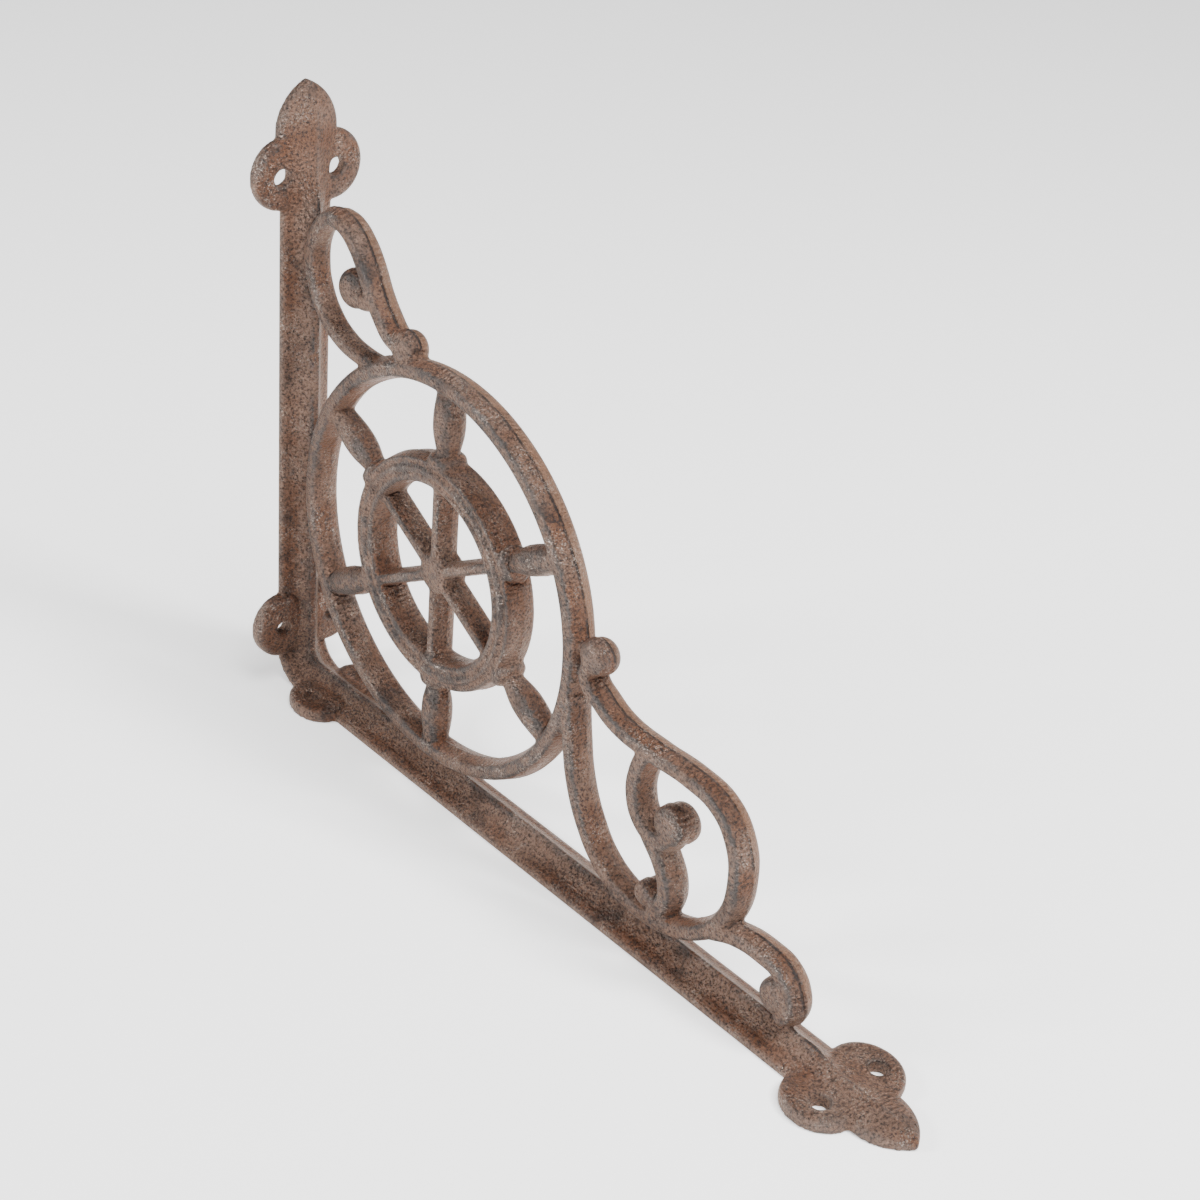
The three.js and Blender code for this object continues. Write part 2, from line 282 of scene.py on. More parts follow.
def draw_out(piece, points):
    """Extrudes the selected end face and brings its corners to the next outline's points."""
    bpy.ops.mesh.extrude_region_move()
    mesh = bmesh.from_edit_mesh(piece.data)
    corner = mesh.verts.layers.int["corner"]
    for vertex in mesh.verts:
        if vertex.select:
            vertex.co = points[vertex[corner]]
    bmesh.update_edit_mesh(piece.data)


def close_up(piece):
    """Merges what coincides, turns the faces outwards and leaves edit mode."""
    bpy.ops.mesh.select_all(action="SELECT")
    bpy.ops.mesh.remove_doubles(threshold=1e-4)
    bpy.ops.mesh.delete_loose()
    bpy.ops.mesh.select_all(action="SELECT")
    bpy.ops.mesh.normals_make_consistent(inside=False)
    bpy.ops.object.mode_set(mode="OBJECT")
    return piece


def drawn(name, outlines):
    """A solid extruded from outline to outline."""
    piece = outline(name, outlines[0])
    for points in outlines[1:]:
        draw_out(piece, points)
    return close_up(piece)


def turned(name, profile, steps, axis):
    """A solid spun once round the axis from its closed (radius, height) profile."""
    if axis == "Y":
        points = [(r, h, 0) for r, h in profile]
        direction = (0, 1, 0)
    else:
        points = [(r, 0, h) for r, h in profile]
        direction = (0, 0, 1)
    piece = outline(name, points, filled=False)
    bpy.ops.mesh.spin(steps=steps, angle=math.tau, center=(0, 0, 0), axis=direction)
    return close_up(piece)


def put(piece, matrix):
    """Moves a piece's mesh to its place; its object stays at the origin."""
    piece.data.transform(matrix)
    piece.data.update()
    return piece


def copy_of(piece, matrix):
    twin = piece.copy()
    twin.data = piece.data.copy()
    bpy.context.scene.collection.objects.link(twin)
    return put(twin, matrix)


def pick(piece):
    """Leaves one piece selected and active."""
    bpy.ops.object.select_all(action="DESELECT")
    piece.select_set(True)
    bpy.context.view_layer.objects.active = piece


def join(name, pieces):
    pick(pieces[0])
    for piece in pieces:
        piece.select_set(True)
    bpy.ops.object.join()
    pieces[0].name = name
    return pieces[0]


def apply_modifier(piece, kind, **settings):
    """Adds one modifier with these settings and applies it."""
    pick(piece)
    modifier = piece.modifiers.new(kind.lower(), kind)
    for key, value in settings.items():
        setattr(modifier, key, value)
    bpy.ops.object.modifier_apply(modifier=modifier.name)


def drill(piece, drills):
    for tool in drills:
        apply_modifier(piece, "BOOLEAN", operation="DIFFERENCE", solver="EXACT", object=tool)


# Sections, in millimetres


def both_sides(half):
    """A whole section from its one side, listed as (side, height) from the edge up to the middle."""
    return half + [(-side, height) for side, height in reversed(half)]


def both_faces(front):
    """A whole profile from its front half, listed as (radius, height)."""
    return front + [(radius, -height) for radius, height in reversed(front)]


def arm_section():
    side = ARM_WIDTH / 2
    return both_sides([(side, 0), (side, ARM_EDGE), (side - FLANGE_BEVEL, FLANGE)] + RIB_SLOPE)


def leaf_section(half_width, ridge):
    """A low roof whose sides are slightly crowned, with a soft ridge."""
    rise = ridge - LEAF_EDGE
    roof = [(half_width * out, LEAF_EDGE + rise * up) for out, up in LEAF_ROOF]
    return both_sides([(half_width, 0)] + roof)


def arch_half_width(width, share):
    """Half the width of a pointed arch, at a share of the way from its foot to its point."""
    half = width / 2
    radius = (half ** 2 + LEAF_LENGTH ** 2) / (2 * half)
    return half - radius + math.sqrt(radius ** 2 - (LEAF_LENGTH * share) ** 2)


def cast_section(width, depth):
    """A cast bar's outline: widest at the parting plane, slanting in to a narrower face on both sides."""
    quarter = [(out * width / 2, up * depth / 2) for out, up in CAST_QUARTER]
    upper = both_sides(quarter)
    lower = [(-out, -up) for out, up in upper[1:-1]]
    return upper + lower


# The arms


def lobe(pair, side):
    """A round lobe stretched along the arm, with a rounded edge."""
    thickness = pair["thick"]
    bpy.ops.object.select_all(action="DESELECT")
    bpy.ops.mesh.primitive_cylinder_add(vertices=LOBE_FACETS, radius=1, depth=thickness)
    piece = bpy.context.object
    piece.name = "lobe"
    stretch = Matrix.Diagonal((pair["along"], pair["across"], 1, 1))
    put(piece, Matrix.Translation((pair["at"], side * ARM_WIDTH / 2, thickness / 2)) @ stretch)
    bpy.ops.object.mode_set(mode="EDIT")
    mesh = bmesh.from_edit_mesh(piece.data)
    for edge in mesh.edges:
        edge.select_set(all(v.co.z > thickness / 2 for v in edge.verts))
    mesh.select_flush(False)
    bmesh.update_edit_mesh(piece.data)
    bpy.ops.mesh.bevel(offset=LOBE_ROUNDING, segments=LOBE_ROUNDING_STEPS, affect="EDGES")
    return close_up(piece)


def screw_drill(pair, side):
    """A drill that is long enough for the arm and its rib."""
    bpy.ops.object.select_all(action="DESELECT")
    bpy.ops.mesh.primitive_cylinder_add(
        vertices=LOBE_FACETS, radius=pair["hole"] / 2, depth=RIB_HEIGHT * 4)
    tool = bpy.context.object
    tool.name = "screw_drill"
    return put(tool, Matrix.Translation((pair["screws"], side * pair["spacing"] / 2, 0)))


def arm(name, length, leaf_width, tip_pair, corner_pair):
    """One arm lying along x with its back at z = 0, with its leaf tip, lobes and screw holes."""
    neck = tip_pair["at"] - tip_pair["along"]
    leaf_foot = length - LEAF_LENGTH
    stations = [
        (CORNER_RADIUS - ROOT, arm_section()),
        (neck, arm_section()),
        (neck + RIB_FADE, leaf_section(ARM_WIDTH / 2, LEAF_RIDGE)),
    ]
    for i in range(LEAF_STEPS + 1):
        share = math.sin(i / LEAF_STEPS * math.pi / 2)
        half_width = max(arch_half_width(leaf_width, share), LEAF_POINT / 2)
        ridge = LEAF_RIDGE + (LEAF_POINT_HEIGHT - LEAF_RIDGE) * share ** 3
        stations.append((leaf_foot + LEAF_LENGTH * share, leaf_section(half_width, ridge)))
    body = drawn(name, [[(s, y, z) for y, z in section] for s, section in stations])
    pairs = [(pair, side) for pair in (tip_pair, corner_pair) for side in (-1, 1)]
    drills = [screw_drill(pair, side) for pair, side in pairs]
    drill(body, drills)
    lobes = [lobe(pair, side) for pair, side in pairs]
    for piece, tool in zip(lobes, drills):
        drill(piece, [tool])
    for tool in drills:
        bpy.data.objects.remove(tool)
    return join(name, [body] + lobes)


def stood_up(piece):
    """Stands an arm up from lying along x to rising along z."""
    return put(piece, Matrix.Rotation(math.pi, 4, Vector((1, 0, 1)).normalized()))


def corner_bend():
    """The quarter turn that joins the two arms, its section spun round the middle of the outer rounding."""
    bend = outline("corner_bend", [(CORNER_RADIUS, y, z) for y, z in arm_section()])
    bpy.ops.mesh.spin(
        steps=CORNER_STEPS, angle=-math.pi / 2, center=(CORNER_RADIUS, 0, CORNER_RADIUS), axis=(0, 1, 0))
    return close_up(bend)


def corner_fillet():
    """The soft fillet between the two flanges."""
    root = FLANGE / 2
    far = FLANGE + CORNER_FILLET
    arc = []
    for i in range(CORNER_STEPS + 1):
        angle = math.pi / 2 * i / CORNER_STEPS
        arc.append((far - CORNER_FILLET * math.sin(angle), far - CORNER_FILLET * math.cos(angle)))
    side = ARM_WIDTH / 2 - FLANGE_BEVEL
    flat = [(root, root), (far, root)] + arc + [(root, far)]
    return drawn("corner_fillet", [[(x, y, z) for x, z in flat] for y in (-side, side)])


# The wheel in its ring, each member made round the hub and then set at its place


def rim_profile():
    """Three bands with two grooves between them on each face, from the inner edge to the outer."""
    face = RIM_DEPTH / 2
    width = RIM_OUTER - RIM_INNER
    front = [(RIM_INNER + width * share, face - down) for share, down in RIM_MOULDING]
    other = [(r, -y) for r, y in reversed(front)]
    return front + [(RIM_OUTER + RIM_DRAFT, 0)] + other + [(RIM_INNER - RIM_DRAFT, 0)]


def hub_profile():
    return both_faces([(r, HUB_DEPTH / 2 - down) for r, down in HUB_MOULDING])


def handle_profile():
    """A barrel that stands on the rim behind its collar and runs into the ring."""
    foot = RIM_OUTER - ROOT
    start = RIM_OUTER + BARREL_START
    end = RING_INSIDE + ROOT
    last = len(BARREL_RADII) - 1
    collar = [(0, foot), (COLLAR_FOOT, foot)] + [(r, RIM_OUTER + up) for r, up in COLLAR]
    barrel = [(r, start + (end - start) * i / last) for i, r in enumerate(BARREL_RADII)]
    return collar + barrel + [(0, end)]


def wheel():
    ring_section = [(RING_RADIUS + w, d) for w, d in cast_section(RING_WIDTH, RING_DEPTH)]
    members = [
        turned("ring", ring_section, RING_STEPS, "Y"),
        turned("rim", rim_profile(), RING_STEPS, "Y"),
        turned("hub", hub_profile(), TURN_STEPS, "Y"),
    ]
    section = cast_section(SPOKE_WIDTH, SPOKE_DEPTH)
    reach = RIM_INNER + ROOT
    spoke = drawn("spoke", [[(x, y, z) for x, y in section] for z in (0, reach)])
    handle = turned("handle", handle_profile(), TURN_STEPS, "Z")
    for i in range(1, SPOKES):
        turn = Matrix.Rotation(math.tau * i / SPOKES, 4, "Y")
        members += [copy_of(spoke, turn), copy_of(handle, turn)]
    members += [spoke, handle]
    return put(join("wheel", members), Matrix.Translation((RING_CENTRE, 0, RING_CENTRE)))


# Scrolls


def swept(name, route, size):
    """A cast bar of this width and depth along a smooth curve through (x, z) points."""
    bpy.ops.object.select_all(action="DESELECT")
    bpy.ops.curve.primitive_bezier_circle_add(radius=1)
    section = bpy.context.object
    section.data.splines.clear()
    edge = section.data.splines.new("POLY")
    points = cast_section(*size)
    edge.points.add(len(points) - 1)
    for point, (out, up) in zip(edge.points, points):
        point.co = (out, up, 0, 1)
    edge.use_cyclic_u = True
    bpy.ops.curve.primitive_bezier_curve_add()
    path = bpy.context.object
    path.name = name
    path.data.splines.clear()
    path.data.twist_mode = "Z_UP"
    path.data.resolution_u = CURVE_DETAIL
    path.data.bevel_mode = "OBJECT"
    path.data.bevel_object = section
    path.data.use_fill_caps = True
    line = path.data.splines.new("BEZIER")
    line.bezier_points.add(len(route) - 1)
    for knot, (x, z) in zip(line.bezier_points, route):
        knot.co = (x, z, 0)
        knot.handle_left_type = "AUTO"
        knot.handle_right_type = "AUTO"
    pick(path)
    bpy.ops.object.convert(target="MESH")
    bpy.data.objects.remove(section)
    piece = bpy.context.object
    put(piece, Matrix.Rotation(math.pi / 2, 4, "X"))
    bpy.ops.object.mode_set(mode="EDIT")
    return close_up(piece)


def button(centre, radius, roundness):
    """A round button with its axis across the bracket."""
    half = BUTTON_DEPTH / 2
    profile = []
    for i in range(BUTTON_STEPS + 1):
        angle = math.pi * i / BUTTON_STEPS
        out, up = math.sin(angle), math.cos(angle)
        profile.append((radius * abs(out) ** roundness, half * math.copysign(abs(up) ** roundness, up)))
    piece = turned("button", profile, TURN_STEPS, "Y")
    return put(piece, Matrix.Translation((centre[0], 0, centre[1])))


def shelf_point(u, v):
    """A place over the shelf arm, by shares: u from ring to leaf's neck, v from rib to hub."""
    return (
        RING_EDGE + (SHELF_NECK - RING_EDGE) * u,
        RIB_HEIGHT + (RING_CENTRE - RIB_HEIGHT) * v,
    )


def wall_point(u, v):
    """A place by the wall arm, by shares: u from rib to hub, v from ring to leaf's neck."""
    return (
        RIB_HEIGHT + (RING_CENTRE - RIB_HEIGHT) * u,
        RING_EDGE + (WALL_NECK - RING_EDGE) * v,
    )


def shelf_scroll():
    loop = [
        (0.079, 1.1), (0.065, 1.0), (0.124, 0.924), (0.199, 0.873), (0.338, 0.859), (0.48, 0.863),
        (0.589, 0.829), (0.657, 0.72), (0.684, 0.536), (0.653, 0.31), (0.565, 0.151), (0.45, 0.062),
        (0.353, 0.044), (0.258, 0.064), (0.172, 0.132), (0.106, 0.25), (0.047, 0.44), (0.017, 0.66),
        (0, 0.86),
    ]
    inner_curl = [
        (0.318, 0.859), (0.289, 0.725), (0.285, 0.607), (0.317, 0.5), (0.374, 0.46), (0.419, 0.49),
        (0.429, 0.556),
    ]
    stem = [(0.354, 0.455), (0.408, 0.361), (0.437, 0.268), (0.436, 0.175), (0.402, 0.073)]
    last_curl = [
        (0.611, 0.205), (0.707, 0.268), (0.803, 0.281), (0.872, 0.26), (0.915, 0.175), (0.915, 0.081),
        (0.889, 0.042),
    ]
    plain = (SCROLL_WIDTH, SCROLL_DEPTH)
    wide = (STEM_WIDTH, SCROLL_DEPTH)
    return [
        swept("shelf_loop", [shelf_point(*p) for p in loop], plain),
        swept("shelf_inner_curl", [shelf_point(*p) for p in inner_curl], wide),
        swept("shelf_stem", [shelf_point(*p) for p in stem], wide),
        swept("shelf_last_curl", [shelf_point(*p) for p in last_curl], plain),
        button(shelf_point(0.083, 1.119), OUTER_BUTTON, BALL),
        button(shelf_point(0.431, 0.575), INNER_BUTTON, FLAT),
        button(shelf_point(0.366, 0.155), SMALL_BUTTON, FLAT),
        button(shelf_point(0.868, 0.132), OUTER_BUTTON, FLAT),
    ]


def wall_scroll():
    stem = [
        (0.68, 0.1), (0.6, 0.15), (0.532, 0.293), (0.466, 0.482), (0.403, 0.73), (0.332, 0.93),
        (0.247, 1.06), (0.16, 1.085),
    ]
    loop = [
        (0.247, 1.06), (0.16, 1.085), (0.08, 0.975), (0.017, 0.767), (-0.003, 0.466), (0.026, 0.18),
        (0.107, -0.078), (0.218, -0.235), (0.353, -0.3), (0.532, -0.291),
    ]
    curl = [(0.46, 0.42), (0.4, 0.36), (0.33, 0.43)]
    plain = (SCROLL_WIDTH, SCROLL_DEPTH)
    thin = (THIN_WIDTH, THIN_DEPTH)
    return [
        swept("wall_stem", [wall_point(*p) for p in stem], plain),
        swept("wall_loop", [wall_point(*p) for p in loop], thin),
        swept("wall_curl", [wall_point(*p) for p in curl], plain),
        button(wall_point(0.699, 0.105), OUTER_BUTTON, BALL),
        button(wall_point(0.31, 0.415), INNER_BUTTON, BALL),
    ]


# The whole casting: the members fused under one skin


def places_of(mesh):
    places = np.empty(len(mesh.vertices) * 3)
    mesh.vertices.foreach_get("co", places)
    return places.reshape(-1, 3)


def off_backs(mesh, start):
    """0 near the flat backs of the two arms, rising to 1 over a millimetre from this far off them."""
    places = places_of(mesh)
    return np.clip(np.minimum(places[:, 0], places[:, 2]) - start, 0, 1)


def mould_shift(piece):
    """Moves the half behind the parting plane a little, as two mould halves that don't quite meet."""
    places = places_of(piece.data)
    behind = np.clip(places[:, 1] / SKIN_VOXEL, 0, 1) * off_backs(piece.data, MOULD_SHIFT_FROM)
    places[:, 0] += MOULD_SHIFT * behind
    places[:, 2] -= MOULD_SHIFT * behind
    piece.data.vertices.foreach_set("co", places.ravel())
    piece.data.update()


def relief(mesh, rounds):
    """How far each point of a mesh stands out of its surroundings, smoothed this many times over."""
    count = len(mesh.vertices)
    places = places_of(mesh)
    normals = np.empty(count * 3)
    edges = np.empty(len(mesh.edges) * 2, dtype=np.int64)
    mesh.vertices.foreach_get("normal", normals)
    mesh.edges.foreach_get("vertices", edges)
    one, other = edges.reshape(-1, 2).T
    neighbours = np.bincount(one, minlength=count) + np.bincount(other, minlength=count)
    smooth = places.copy()
    for _ in range(rounds):
        for axis in range(3):
            total = np.bincount(one, smooth[other, axis], count)
            total += np.bincount(other, smooth[one, axis], count)
            smooth[:, axis] = total / neighbours
    return ((places - smooth) * normals.reshape(-1, 3)).sum(axis=1)


def outermost(mesh):
    """1 where nothing of the bracket lies further out along OUTWARDS, 0 on the walls inside it, which that
    iron shades; painted light goes where it is 1.
    """
    places = places_of(mesh)
    spare = OUT_REACH + 2
    taken = np.zeros((int(SHELF_LENGTH) + spare, int(WALL_LENGTH) + spare), dtype=bool)
    column, row = (np.maximum(places[:, axis], 0) for axis in (0, 2))
    taken[column.astype(int), row.astype(int)] = True
    free = np.ones(len(places), dtype=bool)
    for step in range(OUT_START, OUT_REACH):
        free &= ~taken[(column + OUTWARDS[0] * step).astype(int), (row + OUTWARDS[2] * step).astype(int)]
    return free.astype(float)


def mark(mesh, name, values):
    """Keeps a value between 0 and 1 for each point of a mesh, for its material to read."""
    kept = mesh.attributes.new(name, "FLOAT", "POINT")
    kept.data.foreach_set("value", np.clip(values, 0, 1).astype(np.float32))


def casting():
    shelf = arm("shelf_arm", SHELF_LENGTH, SHELF_LEAF_WIDTH, SHELF_TIP, SHELF_CORNER)
    wall = stood_up(arm("wall_arm", WALL_LENGTH, WALL_LEAF_WIDTH, WALL_TIP, WALL_CORNER))
    members = [shelf, wall, corner_bend(), corner_fillet(), wheel()] + shelf_scroll() + wall_scroll()
    whole = join("iron_bracket", members)
    apply_modifier(whole, "REMESH", mode="VOXEL", voxel_size=SKIN_VOXEL, adaptivity=0)
    apply_modifier(whole, "SMOOTH", factor=SKIN_SMOOTHING, iterations=SKIN_ROUNDS)
    mould_shift(whole)
    mark(whole.data, "standing_out", relief(whole.data, STANDING_ROUNDS) / STANDING_OUT)
    mark(whole.data, "sunk_in", -relief(whole.data, SUNK_ROUNDS) / SUNK_IN)
    mark(whole.data, "off_backs", off_backs(whole.data, SEAM_FROM))
    # Sides that no other iron shades from OUTWARDS, where the material paints light and shows the seam
    mark(whole.data, "outermost", outermost(whole.data))
    apply_modifier(whole, "DECIMATE", ratio=SKIN_TRIANGLES / (2 * len(whole.data.polygons)))
    put(whole, Matrix.Translation(CORNER) @ Matrix.Scale(MM, 4))
    return whole


bracket = casting()
pick(bracket)
bpy.ops.object.shade_smooth()


# The material: sand-cast iron with a rubbed brown and dark grey finish, and painted shade, light and glints


def node_group(name, inputs, outputs):
    """A shader node group with these named sockets; returns its tree and the sockets inside it."""
    tree = bpy.data.node_groups.new(name, "ShaderNodeTree")
    for socket, kind in inputs.items():
        tree.interface.new_socket(name=socket, in_out="INPUT", socket_type=kind)
    for socket, kind in outputs.items():
        tree.interface.new_socket(name=socket, in_out="OUTPUT", socket_type=kind)
    return tree, tree.nodes.new("NodeGroupInput").outputs, tree.nodes.new("NodeGroupOutput").inputs


def node(tree, kind, values, **settings):
    """A node whose inputs are set to numbers or linked to sockets; returns the node."""
    made = tree.nodes.new(kind)
    for key, value in settings.items():
        setattr(made, key, value)
    for key, value in values.items():
        if isinstance(value, bpy.types.NodeSocket):
            tree.links.new(value, made.inputs[key])
        else:
            made.inputs[key].default_value = value
    return made


def maths(tree, operation, *values):
    return node(tree, "ShaderNodeMath", dict(enumerate(values)), operation=operation).outputs[0]


def times(tree, one, other):
    return maths(tree, "MULTIPLY", one, other)


def vector_times(tree, vector, factors):
    return node(tree, "ShaderNodeVectorMath", {0: vector, 1: factors}, operation="MULTIPLY").outputs[0]


def across(tree, vector):
    """The share of a place or a normal that runs across the bracket."""
    return node(tree, "ShaderNodeSeparateXYZ", {0: vector}).outputs["Y"]


def facing(tree, normal):
    """1 on the bars' faces, 0 on their sides."""
    return maths(tree, "ABSOLUTE", across(tree, normal))


def outwards(tree, normal):
    """1 on a side that faces along OUTWARDS, 0 on one square to it, less on one that faces back."""
    values = {0: normal, 1: OUTWARDS}
    return node(tree, "ShaderNodeVectorMath", values, operation="DOT_PRODUCT").outputs["Value"]


def span(tree, value, low, high):
    """0 below low and 1 above high, with a soft change between them; the other way if low is higher."""
    values = {"Value": value, "From Min": min(low, high), "From Max": max(low, high)}
    if low > high:
        values.update({"To Min": 1, "To Max": 0})
    return node(tree, "ShaderNodeMapRange", values, interpolation_type="SMOOTHSTEP").outputs[0]


def noise(tree, place, scale, detail=3, roughness=0.55):
    values = {"Vector": place, "Scale": scale, "Detail": detail, "Roughness": roughness}
    return node(tree, "ShaderNodeTexNoise", values).outputs[0]


def wander(tree, place, scale, detail, roughness, width):
    """A noise that wavers about 0, this wide in all."""
    middle = maths(tree, "SUBTRACT", noise(tree, place, scale, detail, roughness), 0.5)
    return times(tree, middle, width)


def cover(tree, share, below, above):
    """One colour laid over another by a share."""
    return node(tree, "ShaderNodeMix", {0: share, 6: below, 7: above}, data_type="RGBA").outputs[2]


def sand_cast_grain_and_painted_glints():
    """Sand grains as height, dark specks between them and painted glints, bright highlight spots, on them.
    Place is in mm.
    """
    tree, into, out = node_group(
        "sand_cast_grain_and_painted_glints",
        {"Place": "NodeSocketVector", "Grains per mm": "NodeSocketFloat"},
        {"Height": "NodeSocketFloat", "Specks": "NodeSocketFloat", "Painted glints": "NodeSocketFloat"})
    place, density = into["Place"], into["Grains per mm"]
    grains = noise(tree, place, density, 4, 0.6)
    pits = node(tree, "ShaderNodeTexVoronoi", {"Vector": place, "Scale": density}).outputs["Distance"]
    swells = noise(tree, place, SPOTS["swells"], 2)
    height = maths(tree, "ADD", times(tree, grains, 0.8), times(tree, pits, 0.25))
    tree.links.new(maths(tree, "ADD", height, times(tree, swells, 0.7)), out["Height"])
    specks = noise(tree, place, times(tree, density, 1.1), 4, 0.7)
    tree.links.new(span(tree, specks, 0.42, 0.66), out["Specks"])
    # Painted glints: small bright spots in clusters, highlights painted into the colour
    finer = {"Vector": place, "Scale": times(tree, density, 2.6)}
    cells = node(tree, "ShaderNodeTexVoronoi", finer).outputs["Color"]
    parts = node(tree, "ShaderNodeSeparateColor", {"Color": cells}).outputs
    clusters = span(tree, noise(tree, place, SPOTS["painted glint clusters"], 4), 0.45, 0.7)
    tree.links.new(times(tree, span(tree, parts["Red"], 0.72, 0.95), clusters), out["Painted glints"])
    return tree


def cross_ripples():
    """Fine wrinkles that run across the bars, on the sides that face up and outwards."""
    tree, into, out = node_group(
        "cross_ripples",
        {"Place": "NodeSocketVector", "Normal": "NodeSocketVector"},
        {"Height": "NodeSocketFloat"})
    place = into["Place"]
    ripples = noise(tree, vector_times(tree, place, RIPPLE_STRETCH), SPOTS["ripples"], 2, 0.4)
    patches = span(tree, noise(tree, place, SPOTS["ripple patches"], 1), 0.42, 0.56)
    where = times(tree, span(tree, outwards(tree, into["Normal"]), 0.55, 0.9), patches)
    tree.links.new(times(tree, ripples, times(tree, where, RIPPLE_HEIGHT)), out["Height"])
    return tree


def parting_line():
    """The broken, slightly wavy line along y = 0, on the sides of the bars that face up and outwards."""
    tree, into, out = node_group(
        "parting_line",
        {"Place": "NodeSocketVector", "Normal": "NodeSocketVector"},
        {"Mask": "NodeSocketFloat"})
    place, normal = into["Place"], into["Normal"]
    waves = wander(tree, place, SPOTS["seam waves"], 4, 0.7, 1)
    drift = wander(tree, place, SPOTS["seam drift"], 0, 0.55, 2)
    off_line = maths(tree, "ADD", across(tree, place), maths(tree, "ADD", waves, drift))
    line = times(tree, span(tree, maths(tree, "ABSOLUTE", off_line), 0.5, 0.15),
                 span(tree, facing(tree, normal), 0.75, 0.5))
    unbroken = times(tree, span(tree, noise(tree, place, SPOTS["seam gaps"], 4, 0.7), 0.38, 0.52),
                     span(tree, outwards(tree, normal), 0.5, 0.75))
    tree.links.new(times(tree, line, unbroken), out["Mask"])
    return tree


def rubbed_patina_painted_light_and_shade():
    """Worn brown on the bars' faces, rust on their sides and grey on the slants between, and painted shade
    in hollows.

    The half behind the parting plane is tan on the outermost sides, with painted light on them; painted
    glints, bright highlight spots, go over all.
    """
    masks = ("Standing out", "Sunk in", "Off backs", "Outermost", "Specks", "Painted glints", "Line")
    tree, into, out = node_group(
        "rubbed_patina_painted_light_and_shade",
        {"Place": "NodeSocketVector", "Normal": "NodeSocketVector",
         **{name: "NodeSocketFloat" for name in masks}, **{name: "NodeSocketColor" for name in PATINA}},
        {"Color": "NodeSocketColor", "Dark": "NodeSocketFloat"})
    place = into["Place"]
    flat = facing(tree, into["Normal"])
    outer = outwards(tree, into["Normal"])
    blots = noise(tree, place, SPOTS["blots"], 5, 0.6)
    ragged = maths(tree, "ADD", flat, wander(tree, place, SPOTS["frayed edges"], 5, 0.7, 1.1))

    sides = span(tree, ragged, 0.75, 0.45)
    rusty = times(tree, sides, span(tree, noise(tree, place, SPOTS["rust patches"], 6, 0.6), 0.3, 0.65))
    colour = cover(tree, rusty, into["Worn"], into["Rust"])

    # Painted light: the far half's outermost sides that face up and outwards get a lighter tan
    behind = times(tree, span(tree, across(tree, place), 0.2, 0.6), span(tree, flat, 0.75, 0.5))
    behind = times(tree, times(tree, behind, span(tree, outer, 0.5, 0.8)), into["Outermost"])
    colour = cover(tree, times(tree, behind, COVERAGE["tan"]), colour, into["Tan with painted light"])

    slant = times(tree, span(tree, ragged, 0.5, 0.7), span(tree, ragged, 1.05, 0.88))
    grey = times(tree, slant, span(tree, noise(tree, place, SPOTS["grey patches"], 3), 0.35, 0.6))
    grey = times(tree, grey, into["Off backs"])
    colour = cover(tree, times(tree, grey, COVERAGE["grey"]), colour, into["Grey"])

    patches = span(tree, noise(tree, place, SPOTS["dark patches"], 6, 0.65), 0.56, 0.68)
    colour = cover(tree, times(tree, patches, COVERAGE["dark patches"]), colour, into["Charcoal"])

    calm = maths(tree, "MAXIMUM", behind, times(tree, sides, span(tree, outer, 0.6, 0.1)))
    speckled = maths(tree, "SUBTRACT", 0.95, times(tree, calm, 0.5))
    colour = cover(tree, times(tree, into["Specks"], speckled), colour, into["Charcoal"])

    # Painted shade: darker where the surface sinks into hollows, and dark on the real seam line
    hollow = times(tree, into["Sunk in"], maths(tree, "ADD", blots, 0.45))
    dark = maths(tree, "MAXIMUM", span(tree, hollow, 0.2, 0.9), into["Line"])
    colour = cover(tree, times(tree, dark, COVERAGE["hollows"]), colour, into["Charcoal"])

    rubbed = times(tree, into["Standing out"], span(tree, blots, 0.35, 0.6))
    colour = cover(tree, times(tree, rubbed, COVERAGE["rubbed"]), colour, into["Grey"])

    # Painted glints: bright highlight spots, stronger where the iron stands out
    painted_glint_strength = maths(tree, "ADD", 0.45, times(tree, into["Standing out"], 0.5))
    colour = cover(tree, times(tree, into["Painted glints"], painted_glint_strength), colour, into["Painted glint"])
    tree.links.new(colour, out["Color"])
    tree.links.new(dark, out["Dark"])
    return tree


def srgb(red, green, blue):
    """A colour given as it looks on a screen, 0 to 255, in the shader's own linear values."""
    shares = [value / 255 for value in (red, green, blue)]
    linear = [s / 12.92 if s <= 0.04045 else ((s + 0.055) / 1.055) ** 2.4 for s in shares]
    return (*linear, 1)


def attribute(tree, name):
    return node(tree, "ShaderNodeAttribute", {}, attribute_name=name).outputs["Fac"]


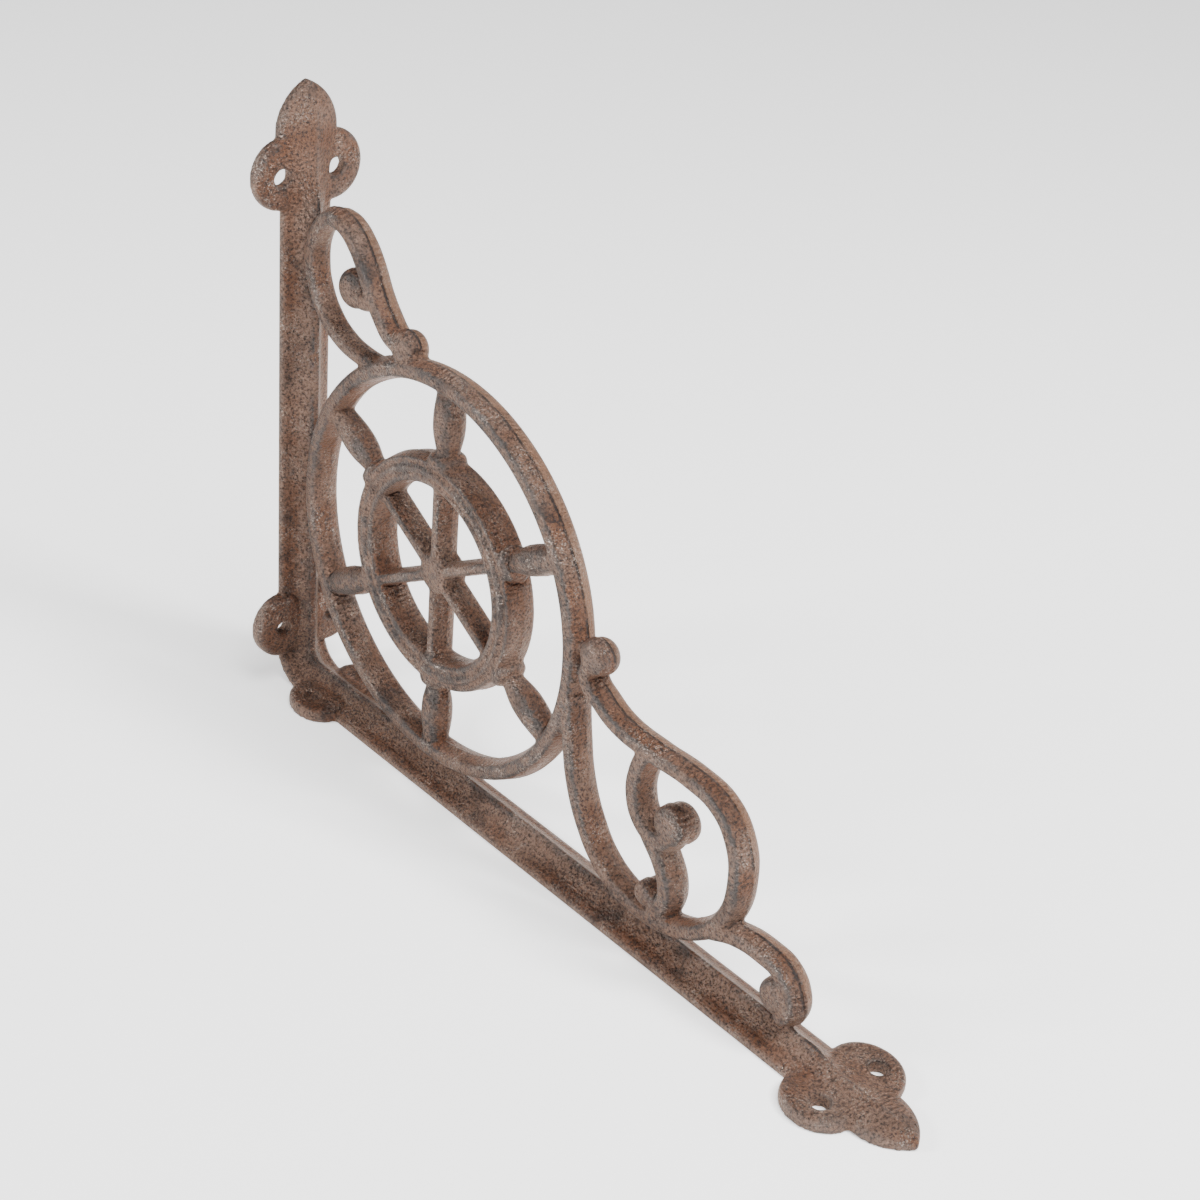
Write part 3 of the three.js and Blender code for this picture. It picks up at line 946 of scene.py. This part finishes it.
def cast_iron():
    iron = bpy.data.materials.new("cast_iron")
    iron.use_nodes = True
    tree = iron.node_tree
    shader = tree.nodes["Principled BSDF"]
    coordinates = tree.nodes.new("ShaderNodeTexCoord").outputs
    place = vector_times(tree, coordinates["Object"], (1 / MM, 1 / MM, 1 / MM))
    # Outermost sides away from the backs: painted light and the seam line go there
    seam = attribute(tree, "off_backs")
    outer = times(tree, attribute(tree, "outermost"), seam)
    grain = node(tree, "ShaderNodeGroup", {}, node_tree=sand_cast_grain_and_painted_glints())
    ripples = node(tree, "ShaderNodeGroup", {}, node_tree=cross_ripples())
    line = node(tree, "ShaderNodeGroup", {}, node_tree=parting_line())
    patina = node(tree, "ShaderNodeGroup", {}, node_tree=rubbed_patina_painted_light_and_shade())
    grain.inputs["Grains per mm"].default_value = SPOTS["grains"]
    for group in (grain, ripples, line, patina):
        tree.links.new(place, group.inputs["Place"])
    for group in (ripples, line, patina):
        tree.links.new(coordinates["Normal"], group.inputs["Normal"])
    cracks = times(tree, line.outputs["Mask"], outer)
    masks = {
        "Standing out": attribute(tree, "standing_out"),
        "Sunk in": attribute(tree, "sunk_in"),
        "Off backs": seam,
        "Outermost": outer,
        "Specks": grain.outputs["Specks"],
        "Painted glints": grain.outputs["Painted glints"],
        "Line": cracks,
    }
    for name, mask in masks.items():
        tree.links.new(mask, patina.inputs[name])
    for name, colour in PATINA.items():
        patina.inputs[name].default_value = srgb(*colour)
    tree.links.new(patina.outputs["Color"], shader.inputs["Base Color"])
    shine = times(tree, grain.outputs["Painted glints"], GLINT_ROUGHNESS)
    dull = times(tree, patina.outputs["Dark"], HOLLOW_ROUGHNESS)
    roughness = maths(tree, "ADD", maths(tree, "ADD", shine, dull), ROUGHNESS)
    tree.links.new(roughness, shader.inputs["Roughness"])
    shader.inputs["Metallic"].default_value = METALLIC
    shader.inputs["Specular IOR Level"].default_value = SPECULAR
    shader.inputs["Specular Tint"].default_value = SPECULAR_TINT
    height = maths(tree, "ADD", grain.outputs["Height"], ripples.outputs["Height"])
    height = maths(tree, "SUBTRACT", height, times(tree, cracks, SEAM_DEPTH))
    bump = node(tree, "ShaderNodeBump", {"Height": height, "Strength": 1, "Distance": GRAIN_HEIGHT * MM})
    tree.links.new(bump.outputs["Normal"], shader.inputs["Normal"])
    return iron


bracket.data.materials.clear()
bracket.data.materials.append(cast_iron())
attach(bracket, "root")
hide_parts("bracket")


# The pale floor, the studio lights and the camera


def pale_floor():
    pale = bpy.data.materials.new("pale_floor")
    pale.use_nodes = True
    matt = pale.node_tree.nodes["Principled BSDF"].inputs
    matt["Base Color"].default_value = WHITE
    matt["Emission Color"].default_value = WHITE
    matt["Emission Strength"].default_value = FLOOR_GLOW
    matt["Roughness"].default_value = FLOOR_ROUGHNESS
    return pale


def softbox(name, place, size, power):
    """A square light that faces the bracket."""
    data = bpy.data.lights.new(name, "AREA")
    data.shape = "SQUARE"
    data.size = size
    data.energy = power
    light = bpy.data.objects.new(name, data)
    light.location = place
    light.rotation_euler = (Vector(LIGHTS_AIM) - Vector(place)).to_track_quat("-Z", "Y").to_euler()
    bpy.context.scene.collection.objects.link(light)


bpy.ops.object.select_all(action="DESELECT")
bpy.ops.mesh.primitive_plane_add(size=FLOOR_SIZE, location=(0, 0, cad_box[0][2]))
floor = bpy.context.object
floor.name = "floor"
floor.data.materials.append(pale_floor())

world = bpy.data.worlds.new("studio")
world.use_nodes = True
world.node_tree.nodes["Background"].inputs["Color"].default_value = WHITE
world.node_tree.nodes["Background"].inputs["Strength"].default_value = DAYLIGHT
bpy.context.scene.world = world
for name, (place, size, power) in LIGHTS.items():
    softbox(name, place, size, power)

bpy.ops.object.camera_add(location=CAMERA_PLACE)
camera = bpy.context.object
towards = (CAMERA_AIM - CAMERA_PLACE).to_track_quat("-Z", "Y").to_matrix().to_4x4()
camera.matrix_world = Matrix.Translation(CAMERA_PLACE) @ towards @ Matrix.Rotation(CAMERA_ROLL, 4, "Z")
camera.data.lens = CAMERA_LENS
camera.data.sensor_width = CAMERA_SENSOR
camera.data.clip_start = CAMERA_NEAREST
bpy.context.scene.camera = camera
